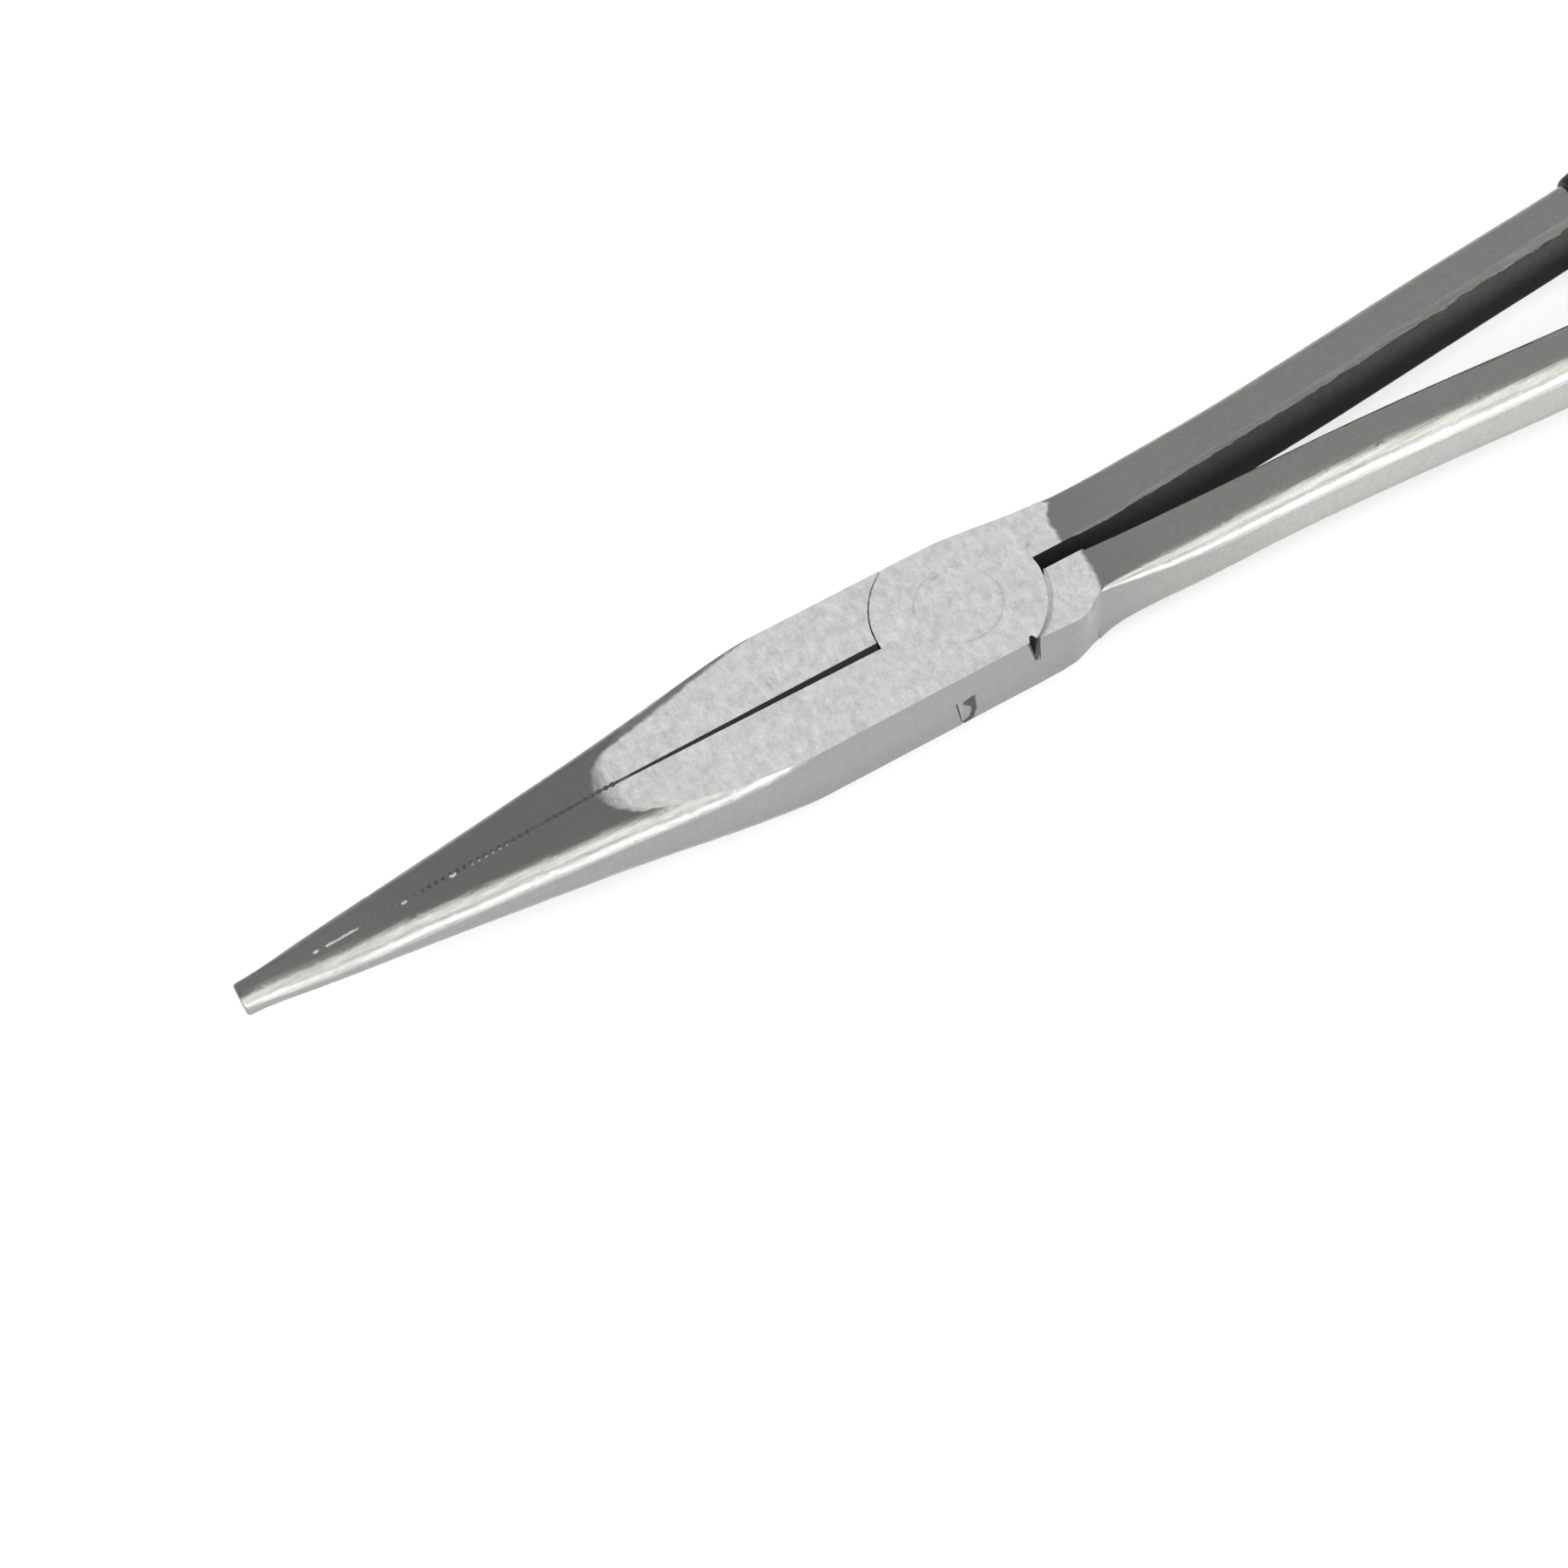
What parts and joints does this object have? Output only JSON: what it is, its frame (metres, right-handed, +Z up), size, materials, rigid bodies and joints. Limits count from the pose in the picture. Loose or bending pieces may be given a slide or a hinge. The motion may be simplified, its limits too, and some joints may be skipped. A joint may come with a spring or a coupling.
{
  "type": "needle nose pliers",
  "caption": "Long-reach needle nose pliers with a flush riveted lap joint, toothed tapering jaws and slim shanks in black grips; the jaws open about one pivot.",
  "frame": {"origin": "on the pivot axis, at the lower joint face (the flush end of the rivet)", "axes": "+X runs from the pivot to the ends of the handles and -X to the jaw tips; +Y is the side of the upper half's handle; +Z runs up along the pivot, from the lower joint face to the upper one"},
  "size_m": [0.28, 0.0536, 0.0152],
  "materials": {
    "forged_steel": "forged and polished, with the joint faces ground",
    "rivet_steel": "ground flush with the joint faces",
    "black_grip": "satin moulded, slightly textured"
  },
  "bodies": {
    "lower_lever": {"lower_half": "forged_steel", "pivot_rivet": "rivet_steel", "lower_handle_grip": "black_grip"},
    "upper_lever": {"upper_half": "forged_steel", "upper_handle_grip": "black_grip"}
  },
  "joints": [
    {"name": "jaw_pivot", "type": "hinge", "parent": "lower_lever", "child": "upper_lever", "pos_m": [0, 0, 0.0043], "axis": [0, 0, 1], "range_deg": [0, 60]}
  ]
}
